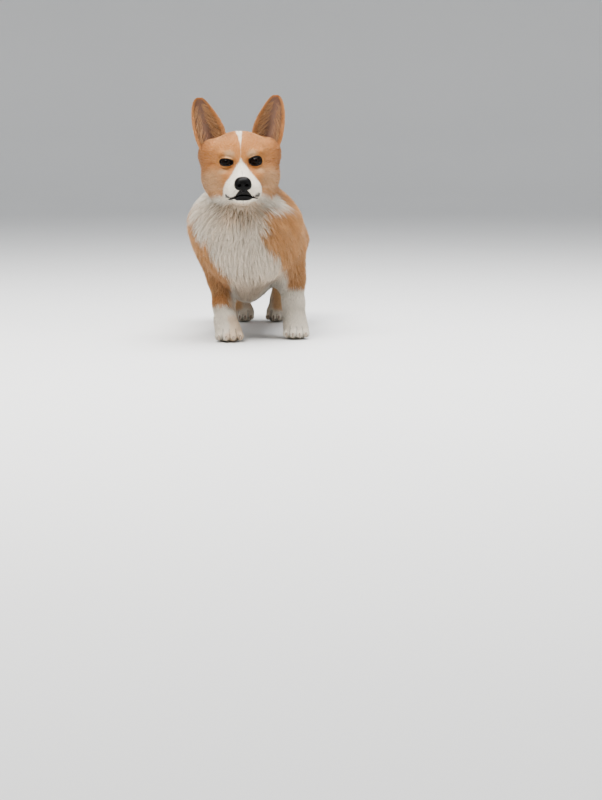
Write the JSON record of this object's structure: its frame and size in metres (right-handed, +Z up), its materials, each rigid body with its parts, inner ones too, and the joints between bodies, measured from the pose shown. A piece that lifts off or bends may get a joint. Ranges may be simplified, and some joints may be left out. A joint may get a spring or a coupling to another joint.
{
  "type": "pembroke welsh corgi model",
  "caption": "Life-size standing Pembroke Welsh Corgi display model with upright ears, short legs, a thick white bib and a short tail.",
  "frame": {"origin": "on the floor, below the middle of the whole dog's box", "axes": "+Z up, -Y the way the dog faces, +X the dog's left side"},
  "size_m": [0.2338, 0.5754, 0.4477],
  "materials": {
    "head_surface": "matte",
    "nose_surface": "satin",
    "neck_surface": "matte",
    "torso_surface": "matte",
    "tail_surface": "matte",
    "eye_right_surface": "glossy",
    "ear_right_surface": "matte",
    "foreleg_right_surface": "matte",
    "forepaw_right_surface": "matte",
    "thigh_right_surface": "matte",
    "hock_right_surface": "matte",
    "hindpaw_right_surface": "matte",
    "eye_left_surface": "glossy",
    "ear_left_surface": "matte",
    "foreleg_left_surface": "matte",
    "forepaw_left_surface": "matte",
    "thigh_left_surface": "matte",
    "hock_left_surface": "matte",
    "hindpaw_left_surface": "matte"
  },
  "bodies": {
    "root": {"head": "head_surface", "nose": "nose_surface", "neck": "neck_surface", "torso": "torso_surface", "tail": "tail_surface", "eye_right": "eye_right_surface", "ear_right": "ear_right_surface", "foreleg_right": "foreleg_right_surface", "forepaw_right": "forepaw_right_surface", "thigh_right": "thigh_right_surface", "hock_right": "hock_right_surface", "hindpaw_right": "hindpaw_right_surface", "eye_left": "eye_left_surface", "ear_left": "ear_left_surface", "foreleg_left": "foreleg_left_surface", "forepaw_left": "forepaw_left_surface", "thigh_left": "thigh_left_surface", "hock_left": "hock_left_surface", "hindpaw_left": "hindpaw_left_surface"}
  },
  "joints": []
}
